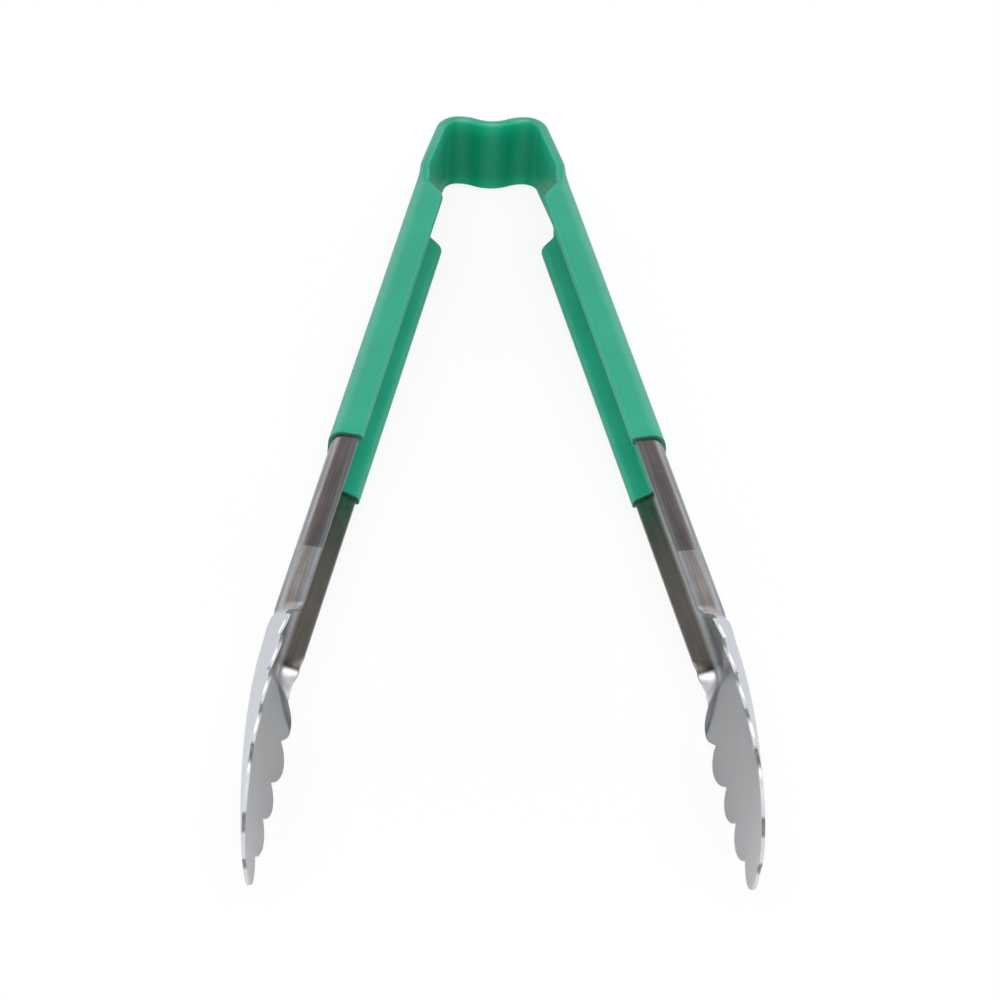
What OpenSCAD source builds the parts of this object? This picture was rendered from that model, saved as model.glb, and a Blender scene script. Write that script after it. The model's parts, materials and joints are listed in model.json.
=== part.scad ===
// Spring tongs bent from one strip of stainless steel, with a dipped coating on the head and handles.
// The strip runs over the wavy spring head, down each arm as a channel, and ends in a scalloped blade.
// Arms are drawn for the left side in their own frame (x inwards, -y along the arm) and then mirrored.

/* [Strip] */
// Thickness of the steel strip
sheet = 1.0; // [0.8:0.05:1.2]
// Thickness of the dipped coating on each face
coat = 1.0; // [0.7:0.05:1.3]
// Width of the flat steel strip at the spring head
strip_w = 23.6; // [22:0.2:25]

/* [Spring head] */
// Half the distance between the two crests of the crown
crest_x = 10.3; // [9.5:0.1:11]
// Dip between the crests
crown_dip = 2.35; // [1.5:0.05:3]
// Corner radius of the crown at the middle of the sheet
corner_r = 5.9; // [5:0.1:6.5]
// Distance from the top of the crown down to the flex line of each arm
flex_d = 30; // [28:0.5:33]
// Half the distance between the flex lines
flex_x = 22.45; // [22:0.05:24]
// Gap left at each flex line
flex_gap = 0.6; // [0.5:0.05:0.8]

/* [Arms] */
// Angle of each arm from the middle plane when open
arm_angle = 11.8; // [10:0.1:13]
// Outside width of the steel channel
channel_w = 22; // [21:0.2:23]
// Depth of the channel's flanges
flange_h = 8.25; // [7:0.05:9]
// Outside corner radius of the channel
bend_r = 3.8; // [3:0.1:4.2]
// Length of the channel from the flex line to the blade
channel_l = 199; // [190:1:205]
// Length of the coated part of the arm
grip_l = 124.9; // [110:0.1:140]
// Distance from the flex line to the foot of the flange shoulder
shoulder_s = 0.9; // [0.7:0.1:2]

/* [Blades] */
// Distance of each side notch from the end of the channel
notch_s = [20.8, 36.4, 50.6, 65.8];
// Half width of the flat blank at each side notch
notch_w = [22.3, 22.5, 22.4, 21.5];
// Distance and half width of the two notches in the end edge
end_notch = [80.6, 8.9];
// Height of the side scallops
scallop_h = 4.5; // [2.5:0.1:4.8]
// Height of the first scallop, next to the channel
first_scallop_h = 3.9; // [2.5:0.1:4.4]
// Distance and half width of the point that draws the corner scallop towards the end
corner_pull_end = [82.5, 18.5];
// Distance and half width of the point that draws the corner scallop towards the side
corner_pull_side = [74.5, 28];
// Height of the middle scallop of the end edge
end_scallop_h = 2.4; // [1.5:0.1:3.5]
// Slope of the blade's side walls at the root
bowl_angle = 34.9; // [25:0.1:40]
// Slope of the side walls at the tip
tip_angle = 11.3; // [5:0.1:16]
// How far the bowl swells out past the arm's back
bowl_swell = 1.5; // [0:0.1:2.5]
// Angle by which the blade curls inwards over its length
curl_angle = 12.4; // [9:0.1:15]
// Angle of the crease that carries the channel's bend on into the blade
crease_angle = 16; // [0:0.5:22]

/* [Hidden] */
FAR = 400;
COLOR_COAT = "#2fa37f";
COLOR_STEEL = "#b4b6ba";

// ---- small helpers ----
function clamp01(x) = min(1, max(0, x));
function smooth(x) = let (u = clamp01(x)) u * u * (3 - 2 * u);
function lerp(a, b, t) = a + (b - a) * t;
// Rises from 0 to 1 and falls back over x from 0 to 1; a power below 1 makes it fuller
function bump(x, power = 1) = let (u = clamp01(x)) pow(4 * u * (1 - u), power);
function unit(v) = v / norm(v);
function side_of(a, b, c) = sign(cross(b - a, c - b));

// Replaces each corner [x, y, r] of an outline with an arc of radius r.
function rounded(pts, steps = 8) = [
    for (i = [0:len(pts) - 1])
        let (
            n = len(pts),
            p = [pts[i][0], pts[i][1]],
            a = unit([pts[(i + n - 1) % n][0], pts[(i + n - 1) % n][1]] - p),
            b = unit([pts[(i + 1) % n][0], pts[(i + 1) % n][1]] - p),
            r = pts[i][2],
            half = acos(a * b) / 2,
            mid = p + unit(a + b) * r / sin(half),
            from = p + a * r / tan(half) - mid,
            turn = side_of(p + a, p, p + b) * (180 - 2 * half)
        )
        each r == 0 ? [p] : [
            for (k = [0:steps])
                let (t = turn * k / steps)
                mid + [from[0] * cos(t) - from[1] * sin(t), from[0] * sin(t) + from[1] * cos(t)]
        ]
];

// ---- spring head: tangent arcs and straight walls, drawn with the crown's top at y = 0 ----
skin = sheet / 2 + coat;
crest_y = -skin;
// Each crown wave is two equal arcs of this angle and radius
wave_angle = 2 * atan(crown_dip / crest_x);
wave_r = crest_x / 2 / sin(wave_angle);
valley_c = [0, crest_y - crown_dip + wave_r];
crest_c = [crest_x, crest_y - wave_r];
corner_c = [crest_x, crest_y - corner_r];
// The sheet ends half a gap short of the flex line
wall_end = [flex_x, -flex_d] + flex_gap / 2 * [-sin(arm_angle), cos(arm_angle)];
// Slope of the side walls, so that they touch the corner arc
to_end = wall_end - corner_c;
wall_angle = acos(corner_r / norm(to_end)) - atan2(-to_end[1], to_end[0]);

function polar(a) = [cos(a), sin(a)];
// Stations of the sheet's middle line as [point, outward normal], from the crown's middle to the right
head_right = [
    for (a = [0:wave_angle / 4:wave_angle - 1])
        [valley_c + wave_r * polar(a - 90), -polar(a - 90)],
    for (a = [wave_angle:-wave_angle / 4:1])
        [crest_c + wave_r * polar(a + 90), polar(a + 90)],
    for (a = [90:(wall_angle - 90) / 9:wall_angle - 1])
        [corner_c + corner_r * polar(a), polar(a)],
    [wall_end, polar(arm_angle)],
];
head_line = [
    for (i = [len(head_right) - 1:-1:1])
        [for (v = head_right[i]) [-v[0], v[1]]],
    each head_right,
];
function head_offset(d) = [for (v = head_line) v[0] + d * v[1]];
function reversed(list) = [for (i = [len(list) - 1:-1:0]) list[i]];

// Section of the coated strip, round at both rims, as [across, height]
RIM_STEPS = 6;
rim_section = [
    for (side = [1, -1], k = [0:RIM_STEPS])
        let (a = 90 - side * 90 + 180 * k / RIM_STEPS)
        [skin * cos(a), side * (strip_w - sheet) / 2 + skin * sin(a)]
];

// Tube through the head's stations
module head_sweep(section) {
    m = len(section);
    n = len(head_line);
    polyhedron(
        points = [
            for (v = head_line, q = section)
                let (p = v[0] + q[0] * v[1]) [p[0], p[1], q[1]]
        ],
        faces = [
            [for (k = [0:m - 1]) k],
            [for (k = [m - 1:-1:0]) (n - 1) * m + k],
            for (i = [0:n - 2], k = [0:m - 1])
                let (a = i * m + k, b = i * m + (k + 1) % m)
                each [[a, a + m, b + m], [a, b + m, b]],
        ]
    );
}

module head_sheet() {
    linear_extrude(height = strip_w, center = true)
        polygon(concat(head_offset(sheet / 2), reversed(head_offset(-sheet / 2))));
}

// ---- arms ----
// Distances between which the flanges open out into the bowl, from the channel's nominal end
open_from = -4.2;
open_to = 8.5;
// Moves the left arm's own frame, with its origin on the flex line, to its place
module arm_frame() {
    translate([-flex_x, -flex_d, 0])
        rotate([0, 0, -arm_angle])
            translate([-sheet / 2, 0, 0])
                children();
}

// Solid channel outline: a flat back, round corners and flanges up to height h
module channel_outline(w, r, h) {
    translate([0, -w / 2 + r])
        square([h, w - 2 * r]);
    translate([r, -w / 2])
        square([h - r, w]);
    for (s = [-1, 1])
        translate([r, s * (w / 2 - r)])
            circle(r = r, $fn = 64);
}

// Steel channel section
module channel_section() {
    difference() {
        channel_outline(channel_w, bend_r, flange_h);
        translate([sheet, 0])
            channel_outline(channel_w - 2 * sheet, bend_r - sheet, flange_h);
    }
}

// Coated channel section, with round rims on the flanges
module coated_section() {
    wide = channel_w + 2 * coat;
    difference() {
        translate([-coat, 0])
            channel_outline(wide, bend_r + coat, coat + flange_h - sheet / 2);
        translate([sheet + coat, 0])
            channel_outline(wide - 4 * skin, bend_r - sheet - coat, flange_h);
    }
    for (s = [-1, 1])
        translate([flange_h - sheet / 2, s * (channel_w - sheet) / 2])
            circle(r = skin, $fn = 32);
}

// Side view of the flanges: a sloping shoulder rises from the flat strip to the full height.
// grow moves the shoulder's outline outwards.
module shoulder_profile(grow, length) {
    foot = sheet + 1.4 * grow;
    top = flange_h + grow + 1;
    rise = flange_h - sheet;
    start = shoulder_s - grow * (1 - tan(22.5));
    polygon(rounded([
        [-2 * bend_r, 1, 0],
        [foot, 1, 0],
        [foot, -start, 1.6],
        [foot + rise, -start - rise, 2.6 + grow],
        [foot + rise, -start - rise - 6, 0],
        [top, -start - rise - 6, 0],
        [top, -length, 0],
        [-2 * bend_r, -length, 0],
    ]));
}

// Runs the children's section down the arm, cut to the shoulder
module arm_run(grow, length) {
    intersection() {
        translate([0, -flex_gap / 2, 0])
            rotate([90, 0, 0])
                linear_extrude(height = length - flex_gap / 2)
                    children();
        translate([0, 0, -FAR / 2])
            linear_extrude(height = FAR)
                shoulder_profile(grow, length);
    }
}

module arm_channel() {
    arm_run(0, channel_l + open_from)
        channel_section();
}

module arm_coating() {
    difference() {
        arm_run(coat, grip_l)
            coated_section();
        arm_channel();
    }
}

// ---- blades: a flat blank, bent to a bowl section at each distance s from the channel's nominal end ----
flat_half = channel_w / 2 - bend_r;
bend_l = bend_r * PI / 2;
blank_half = flat_half + bend_l + flange_h - bend_r;
// Half width of the blank at the end of the channel
root_w = 17;
// Distance at which the first scallop leaves the flange's edge
flare_s = 8.2;
// How full the first scallop is, and the other side scallops
first_power = 1.25;
scallop_power = 0.78;
// Distance to which the crease runs, how far it fans out, and the width of its bend
crease_l = 15.5;
crease_fan = 14.5;
crease_bend = 2.5;
// Distances over which the bowl swells out and comes back
swell_in = 5.2;
swell_out = 58.7;
curl_l = 66.8;
// Half width at which the side walls reach their stated slope
wall_w = 22;
// Half width over which the bowl's floor curves most
bowl_flat = 14;

function along(s) = min(1.2, max(0, s / curl_l));
// Half width at which the channel's bend runs on into the blade as a crease
function crease_w(s) = flat_half + bend_l / 2 + crease_fan * pow(clamp01(s / crease_l), 1.6);
// Slope of the sheet across the blade, at distance s and half width w
function slope(s, w) =
    let (
        opened = smooth((s - open_from) / (open_to - open_from)),
        turn = 90 * (1 - opened) + crease_angle * bump(s / crease_l),
        bend = lerp(bend_l, crease_bend, opened),
        wall = lerp(bowl_angle, tip_angle, pow(along(s), 1.1)),
        bowl = wall * w / wall_w * norm([wall_w, bowl_flat]) / norm([w, bowl_flat])
    )
    bowl * opened + turn * clamp01((w - crease_w(s)) / bend + 0.5);
function curl(s) = curl_angle * pow(along(s), 1.2);
function swell(s) = bowl_swell * smooth(s / swell_in) * (1 - smooth((s - swell_in) / swell_out));

// Middle line of the blade's back, from the end of the channel
LINE_STEP = 0.5;
middle = [
    for (i = 0, p = [0, 0]; i <= 180; p = p + LINE_STEP * [sin(curl((i + 0.5) * LINE_STEP)),
        cos(curl((i + 0.5) * LINE_STEP))], i = i + 1) p
];
function middle_at(s) =
    s <= 0 ? [0, s] :
    let (i = floor(s / LINE_STEP), f = s / LINE_STEP - i)
    lerp(middle[i], middle[i + 1], f);

// Height and half width of the outer face at half width w of the blank, summed in small steps
ACROSS = 24;
function across(s, w) =
    let (steps = [for (k = [0:ACROSS - 1]) let (a = slope(s, w * (k + 0.5) / ACROSS)) [sin(a), cos(a)]])
    [for (v = steps) w / ACROSS] * steps;
// Point of the blade at blank position [s, w], moved into the sheet by depth
function blade_point(q, depth) =
    let (
        s = q[0],
        w = abs(q[1]),
        a = slope(s, w),
        c = curl(s),
        o = across(s, w),
        n = o[0] - swell(s) + depth * cos(a),
        z = (o[1] - depth * sin(a)) * sign(q[1]),
        m = middle_at(s)
    )
    [m[0] + n * cos(c), -(m[1] - n * sin(c)), z];

// Side edge of the blank
function side_w(s) =
    s <= 0
        ? lerp(blank_half, root_w, smooth(1 - s / open_from))
        : s <= notch_s[0]
        ? lerp(root_w, notch_w[0], s / notch_s[0])
            + first_scallop_h * bump((s - flare_s) / (notch_s[0] - flare_s), first_power)
        : let (
            k = s <= notch_s[1] ? 0 : s <= notch_s[2] ? 1 : 2,
            t = (s - notch_s[k]) / (notch_s[k + 1] - notch_s[k])
        )
        lerp(notch_w[k], notch_w[k + 1], t) + scallop_h * bump(t, scallop_power);

// Point at share t of a cubic curve from a to b, drawn towards p and then q
function cubic(a, p, q, b, t) =
    let (u = 1 - t)
    u * u * u * a + 3 * u * u * t * p + 3 * u * t * t * q + t * t * t * b;

// Columns across half the blade; the first MID_COLS of them end at the end notch
MID_COLS = 5;
COLS = 12;
END_SHARE = end_notch[1] / notch_w[3];
function col_share(j) = j <= MID_COLS
    ? END_SHARE * j / MID_COLS
    : lerp(END_SHARE, 1, (j - MID_COLS) / (COLS - MID_COLS));
// Share of the corner scallop's curve at which it meets the side notch
CORNER_END = 0.985;
// The end edge of the blank at column j
function end_edge(j) = j <= MID_COLS
    ? let (x = j / MID_COLS) [end_notch[0] + end_scallop_h * (1 - pow(x, 4)), end_notch[1] * x]
    : cubic(end_notch, corner_pull_end, corner_pull_side, [notch_s[3], notch_w[3]],
        CORNER_END * (j - MID_COLS) / (COLS - MID_COLS));

// Rows along the blade: the flare, the side scallops and the end
FLARE_ROWS = 14;
LOBE_ROWS = 6;
END_ROWS = 6;
row_s = [
    for (i = [0:FLARE_ROWS - 1]) lerp(open_from, notch_s[0], i / FLARE_ROWS),
    for (k = [0:2], i = [0:LOBE_ROWS - 1]) lerp(notch_s[k], notch_s[k + 1], i / LOBE_ROWS),
    notch_s[3],
];
function mirrored(row) = [
    for (j = [COLS:-1:1]) [row[j][0], -row[j][1]],
    for (j = [0:COLS]) row[j],
];
blank = [
    for (s = row_s) mirrored([for (j = [0:COLS]) [s, col_share(j) * side_w(s)]]),
    for (i = [1:END_ROWS])
        mirrored([
            for (j = [0:COLS])
                lerp([notch_s[3], col_share(j) * notch_w[3]], end_edge(j), i / END_ROWS)
        ]),
];
ROWS = len(blank);
WIDE = 2 * COLS + 1;
outer_pts = [for (row = blank, q = row) blade_point(q, 0)];
inner_pts = [for (row = blank, q = row) blade_point(q, sheet)];

// Closed skin over two grids of the same size, with walls round their edges
function grid_faces(rows, cols) =
    let (
        n = rows * cols,
        cell = function (i, j) i * cols + j,
        rim = [
            for (j = [0:cols - 1]) cell(0, j),
            for (i = [1:rows - 1]) cell(i, cols - 1),
            for (j = [cols - 2:-1:0]) cell(rows - 1, j),
            for (i = [rows - 2:-1:1]) cell(i, 0),
        ],
        m = len(rim)
    )
    [
        for (i = [0:rows - 2], j = [0:cols - 2])
            each [
                [cell(i, j), cell(i + 1, j), cell(i + 1, j + 1)],
                [cell(i, j), cell(i + 1, j + 1), cell(i, j + 1)],
                [n + cell(i, j), n + cell(i + 1, j + 1), n + cell(i + 1, j)],
                [n + cell(i, j), n + cell(i, j + 1), n + cell(i + 1, j + 1)],
            ],
        for (k = [0:m - 1])
            each [
                [rim[k], rim[(k + 1) % m], n + rim[(k + 1) % m]],
                [rim[k], n + rim[(k + 1) % m], n + rim[k]],
            ],
    ];

module blade() {
    translate([0, -channel_l, 0])
        polyhedron(points = concat(outer_pts, inner_pts), faces = grid_faces(ROWS, WIDE));
}

// ---- placing: the origin is the centre of the lower side of the whole object's box ----
half_width = max([for (p = outer_pts) p[2]]);
tip_y = min([
    for (p = concat(outer_pts, inner_pts))
        -flex_d + (p[1] - channel_l) * cos(arm_angle) - (p[0] - sheet / 2) * sin(arm_angle)
]);

module placed() {
    translate([0, -tip_y / 2, half_width])
        children();
}

module left_side() {
    placed()
        arm_frame()
            children();
}

module right_side() {
    placed()
        mirror([1, 0, 0])
            arm_frame()
                children();
}

// ---- parts ----

module head_spring() {
    color(COLOR_STEEL)
        placed()
            head_sheet();
}

module head_coating() {
    color(COLOR_COAT)
        placed()
            difference() {
                head_sweep(rim_section);
                head_sheet();
            }
}

module left_arm_channel() {
    color(COLOR_STEEL)
        left_side()
            arm_channel();
}

module left_blade() {
    color(COLOR_STEEL)
        left_side()
            blade();
}

module left_handle_coating() {
    color(COLOR_COAT)
        left_side()
            arm_coating();
}

module right_arm_channel() {
    color(COLOR_STEEL)
        right_side()
            arm_channel();
}

module right_blade() {
    color(COLOR_STEEL)
        right_side()
            blade();
}

module right_handle_coating() {
    color(COLOR_COAT)
        right_side()
            arm_coating();
}

head_spring();
head_coating();
left_arm_channel();
left_blade();
left_handle_coating();
right_arm_channel();
right_blade();
right_handle_coating();
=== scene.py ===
# Spring tongs: one formed steel strip with scalloped blades, in a dipped coating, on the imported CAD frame.
import json
import math

import bpy
import numpy as np
from mathutils import Matrix, Vector


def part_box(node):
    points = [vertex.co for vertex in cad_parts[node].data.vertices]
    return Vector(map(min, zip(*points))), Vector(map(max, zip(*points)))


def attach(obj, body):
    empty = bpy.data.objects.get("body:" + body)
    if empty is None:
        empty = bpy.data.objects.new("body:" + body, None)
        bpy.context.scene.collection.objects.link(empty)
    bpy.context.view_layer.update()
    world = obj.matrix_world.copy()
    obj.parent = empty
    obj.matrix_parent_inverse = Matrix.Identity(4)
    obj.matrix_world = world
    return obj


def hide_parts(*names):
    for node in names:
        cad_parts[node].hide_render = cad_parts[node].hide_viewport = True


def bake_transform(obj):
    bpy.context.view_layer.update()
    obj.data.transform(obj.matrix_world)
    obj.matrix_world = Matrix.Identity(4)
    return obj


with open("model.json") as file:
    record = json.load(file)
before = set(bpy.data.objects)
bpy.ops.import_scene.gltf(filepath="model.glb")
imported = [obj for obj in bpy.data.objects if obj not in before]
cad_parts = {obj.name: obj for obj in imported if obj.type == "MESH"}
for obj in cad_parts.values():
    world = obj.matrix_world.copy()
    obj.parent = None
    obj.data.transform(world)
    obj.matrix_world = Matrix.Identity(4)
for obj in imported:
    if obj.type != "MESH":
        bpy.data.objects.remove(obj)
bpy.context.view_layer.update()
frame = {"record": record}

# ---- driving dimensions: millimetres, from the frame where it holds them ----
MM = 0.001
joint = {j["name"]: j for j in frame["record"]["behaviour"]["joints"]}
FLEX = [v / MM for v in joint["right_flex"]["pos_m"]]
MID_Z = FLEX[2]


def box_mm(node):
    """Low and high corner of a CAD node's box."""
    low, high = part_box(node)
    return np.array(low) / MM, np.array(high) / MM


channel_low, channel_high = box_mm("right_arm_channel")
grip_low, grip_high = box_mm("right_handle_coating")
crown_low, crown_high = box_mm("head_coating")
CHANNEL_W = channel_high[2] - channel_low[2]
COAT = (grip_high[2] - grip_low[2] - CHANNEL_W) / 2
SHEET = 1.0
STRIP_W = crown_high[2] - crown_low[2] - 2 * COAT
CROWN_Y = crown_high[1]

# Arm: its angle to the tongs' middle, the channel's flanges and bends, and lengths from the flex line
ARM_ANGLE = math.radians(11.8)
FLANGE_H = 8.25
BEND_R = 3.8
CHANNEL_L = 199.0
GRIP_L = 124.9
FLEX_GAP = 0.6
CURL_FROM = -7.0  # the flat strip's rims begin to curl up
CURL_TO = 3.0
SHOULDER_TO = 8.0  # the flanges reach their full height

# Head: the crests on both sides of the middle, the dip between them, and the radius of the corners
CREST_X = 10.3
CROWN_DIP = 2.35
CORNER_R = 5.9

# Blade's flat blank: notches between the lobes, as distance from the channel's end and half width,
# the lobes' heights over the lines between the notches, and the curve of the last corner
NOTCH_S = [20.8, 36.4, 50.6, 65.8]
NOTCH_W = [22.3, 22.5, 22.4, 21.5]
END_NOTCH = np.array([80.6, 8.9])
ROOT_W = 17.0  # half width at the channel's end
FLARE_S = 8.2  # the first lobe starts here
FIRST_SCALLOP_H = 3.9
FIRST_POWER = 1.25
SCALLOP_H = 4.5
SCALLOP_POWER = 0.78
CORNER_HANDLES = np.array([[82.5, 18.5], [74.5, 28.0]])
CORNER_SHARE = 0.985  # the corner's curve stops just short of the last notch
END_SCALLOP_H = 2.4
END_POWER = 4

# Blade's bowl: slope of its walls at the root and the tip, curl of its middle line, and outward swell
BOWL_ANGLE = math.radians(34.9)
TIP_ANGLE = math.radians(11.3)
WALL_POWER = 1.1
WALL_W = 22.0  # half width at which the walls have these slopes
BOWL_FLAT = 14.0  # the smaller, the straighter the walls and the tighter the bowl's middle
CURL_ANGLE = math.radians(12.4)
CURL_POWER = 1.2
CURL_L = 66.8
CURL_REACH = 1.2  # the change of form runs on past CURL_L, up to this share
OPEN_FROM = -4.2  # the channel opens out from here to OPEN_TO
OPEN_TO = 8.5
BOWL_SWELL = 1.498
SWELL_IN = 5.2  # length over which the swell sets in
SWELL_OUT = 58.7  # length over which it fades out

# Each bend of the channel runs on into the blade as a crease, which fans out to the rim
CREASE_FAN = 14.5
CREASE_L = 15.5
CREASE_POWER = 1.6
CREASE_ANGLE = math.radians(16)
CREASE_BEND = 2.5  # width of the bend in the crease

FLAT_HALF = CHANNEL_W / 2 - BEND_R
BEND_L = BEND_R * math.pi / 2
BLANK_HALF = FLAT_HALF + BEND_L + FLANGE_H - BEND_R


# ---- small helpers ----
def clamp01(x):
    return np.clip(x, 0.0, 1.0)


def smooth(x):
    u = clamp01(x)
    return u * u * (3 - 2 * u)


def fade(x, start, end):
    """Soft step of x: 0 at start and 1 at end, which may be the smaller one."""
    return smooth((x - start) / (end - start))


def between(a, b, share):
    """Value from a to b by a share."""
    return a + (b - a) * share


def bump(x, power):
    u = clamp01(x)
    return (4 * u * (1 - u)) ** power


def unit(v):
    v = np.asarray(v, float)
    return v / np.linalg.norm(v, axis=-1, keepdims=True)


def spaced(a, b, step):
    """Values from a to b, evenly spaced by about step, with both ends."""
    return np.linspace(a, b, max(2, int(round(abs(b - a) / step)) + 1))


def srgb(r, g, b):
    """Linear colour of an 8-bit sRGB colour."""
    def line(v):
        v /= 255
        return v / 12.92 if v <= 0.04045 else ((v + 0.055) / 1.055) ** 2.4
    return (line(r), line(g), line(b), 1.0)


# ---- the strip's shape: s runs down the arm from the flex line, t from the channel's end, w across ----
def blank_half(s):
    """Half width of the blank above the blade."""
    return between(STRIP_W / 2, BLANK_HALF, fade(s, 0, SHOULDER_TO))


def crease_w(t):
    """Half width of the crease at distance t from the channel's end."""
    return FLAT_HALF + BEND_L / 2 + CREASE_FAN * clamp01(t / CREASE_L) ** CREASE_POWER


def along_blade(t, power):
    """Share of the blade's change of form at t: 0 at the channel's end and 1 at CURL_L."""
    return np.clip(t / CURL_L, 0, CURL_REACH) ** power


def slope(s, w):
    """Slope of the sheet across the strip, in radians."""
    t = s - CHANNEL_L
    formed = fade(s, CURL_FROM, CURL_TO)
    opened = fade(t, OPEN_FROM, OPEN_TO)
    turn = math.pi / 2 * formed * (1 - opened) + CREASE_ANGLE * bump(t / CREASE_L, 1)
    bend = between(BEND_L, CREASE_BEND, opened)
    wall = between(BOWL_ANGLE, TIP_ANGLE, along_blade(t, WALL_POWER))
    bowl = wall * w / WALL_W * math.hypot(WALL_W, BOWL_FLAT) / np.hypot(w, BOWL_FLAT)
    return bowl * opened + turn * clamp01((w - crease_w(t)) / bend + 0.5)


def curl(s):
    """Turn of the blade's middle line towards the other blade."""
    return CURL_ANGLE * along_blade(s - CHANNEL_L, CURL_POWER)


def swell(s):
    """How far the blade's middle line stands out behind its root."""
    t = s - CHANNEL_L
    return BOWL_SWELL * fade(t, 0, SWELL_IN) * (1 - fade(t, SWELL_IN, SWELL_IN + SWELL_OUT))


# Middle line of the outer face in the arm's frame, as inward and downward distances.
# Above the flex line it turns through KINK, from the head's wall to the arm, over TURN_L.
TURN_L = 13.0
SKIN = SHEET / 2 + COAT
corner_c = np.array([CREST_X, -SKIN - CORNER_R])
to_flex = np.array([FLEX[0], FLEX[1] - CROWN_Y]) - corner_c
WALL_ANGLE = math.acos(CORNER_R / np.linalg.norm(to_flex)) - math.atan2(-to_flex[1], to_flex[0])
KINK = WALL_ANGLE - ARM_ANGLE


def lean(s):
    """Angle of the strip's middle line to the arm: positive leans inwards going up."""
    return np.where(s > TURN_L, -curl(s), KINK * clamp01((TURN_L / 2 - s) / TURN_L))


LINE_FROM = -40
LINE_TO = 300
LINE_STEP = 0.1
line_s = np.arange(LINE_FROM, LINE_TO, LINE_STEP)
line_lean = lean(line_s + LINE_STEP / 2)
line_in = np.concatenate([[0], np.cumsum(-np.sin(line_lean) * LINE_STEP)])[:-1]
line_down = np.concatenate([[0], np.cumsum(np.cos(line_lean) * LINE_STEP)])[:-1]
anchor = np.searchsorted(line_s, TURN_L)
line_in -= line_in[anchor]
line_down -= line_down[anchor] - line_s[anchor]

ACROSS = 48  # steps of the sum from the middle line out to w


def section(s, w, depth):
    """Inward offset, height and slope of the sheet at s, |w| and depth below its outer face."""
    inward = np.zeros_like(s)
    height = np.zeros_like(s)
    for k in range(ACROSS):
        a = slope(s, w * (k + 0.5) / ACROSS)
        inward = inward + np.sin(a) * w / ACROSS
        height = height + np.cos(a) * w / ACROSS
    a = slope(s, w)
    return inward - swell(s) + depth * np.cos(a), height - depth * np.sin(a), a


def place(s, inward, height):
    """Point of the left arm, in the tongs' frame in millimetres, from its section point."""
    turn = lean(s)
    m_in = np.interp(s, line_s, line_in)
    m_down = np.interp(s, line_s, line_down)
    lx = m_in + inward * np.cos(turn) - SHEET / 2
    ly = -m_down - inward * np.sin(turn)
    c, d = math.cos(ARM_ANGLE), math.sin(ARM_ANGLE)
    return np.stack([-FLEX[0] + lx * c + ly * d, FLEX[1] - lx * d + ly * c, MID_Z + height], -1)


def strip_point(s, w, depth):
    """Point of the left arm's sheet; the sign of w is its side."""
    inward, height, _ = section(s, np.abs(w), depth)
    return place(s, inward, height * np.where(w < 0, -1, 1))


# ---- mesh making ----
SHARP_ANGLE = math.radians(38)


def new_piece(name, points, faces, marks=None, attributes=None, mirror=False):
    """A mesh object from points in millimetres. marks holds one material index for each face."""
    points = np.array(points, float)
    if mirror:
        points[:, 0] *= -1
        faces = [f[::-1] for f in faces]
    mesh = bpy.data.meshes.new(name)
    mesh.from_pydata((points * MM).tolist(), [], [list(map(int, f)) for f in faces])
    mesh.validate()
    if marks is not None:
        mesh.polygons.foreach_set("material_index", marks)
    for key, values in (attributes or {}).items():
        layer = mesh.attributes.new(key, "FLOAT_VECTOR", "POINT")
        layer.data.foreach_set("vector", np.asarray(values, np.float32).ravel())
    mesh.polygons.foreach_set("use_smooth", [True] * len(mesh.polygons))
    piece = bpy.data.objects.new(name, mesh)
    bpy.context.scene.collection.objects.link(piece)
    mesh.set_sharp_from_angle(angle=SHARP_ANGLE)
    return piece


# ---- looks of the steel: tone with painted reflection and shade, roughness and streaks over both faces, and the painted reflection on the cut edge ----
BLUE_STEEL = np.array(srgb(223, 227, 235)[:3])
BROWN_STEEL = np.array(srgb(238, 226, 223)[:3])
OLIVE_STEEL = np.array(srgb(236, 225, 214)[:3])
BOWL_STEEL = np.array(srgb(228, 230, 233)[:3])
WHITE = np.ones(3)

# The channel's outer face changes here from a polished to a brushed finish
FINISH_S = 172.0
FINISH_FADE = 0.8
# Across the channel's outer face: half width, lightness and brown share, polished and brushed. The lightness
# is painted reflection: bands that follow the bends, darker on the polished stretch than on the brushed one
BAND_W = [0, 7.3, 8.6, 10.2, 11.3, 12.2, 14, 15.6, 16.4, 17.2]
POLISHED_PAINTED_REFLECTION = [0.45, 0.3, 0.32, 0.42, 0.36, 0.37, 0.37, 0.38, 0.46, 0.55]
POLISHED_BROWN = [0.3, 0, 0, 0, 0.2, 1, 1, 0.8, 0.4, 0]
BRUSHED_PAINTED_REFLECTION = [0.56, 0.39, 0.41, 0.46, 0.49, 0.53, 0.56, 0.58, 0.63, 0.68]
BRUSHED_BROWN = [0, 0, 0, 0, 0.1, 0.5, 0.9, 0.5, 0, 0]
# The blade's finish sets in over this stretch from the channel's end
ROOT = (0, 3)
# Blade's outer face: lightness at the root and from BLADE_EVEN on
ROOT_LIGHT = 0.9
TIP_LIGHT = 1.0
BLADE_EVEN = 70
# Painted highlight: a faint light, browner oval on each flange; its middle from the channel's end and from
# the rim, and its half lengths
OVAL_T = -11
OVAL_IN = 3.2
OVAL_HALF = (4.4, 2.6)
OVAL_CORE = 0.375  # share of the oval that has its full tone
OVAL_PAINTED_HIGHLIGHT = 0.1

# Channel's inner face: lightness of the flanges and of the web between them, and how much is lost as painted
# shade
FLANGE_LIGHT = 0.49
WEB_LIGHT = 0.68
GRIP_LOSS = 0.3  # on the flanges, towards the grip
WEB_LOSS = 0.38  # on the web, towards the blade
FOLD_LOSS = 0.82  # on the flanges, in the fold where the flare begins
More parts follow.
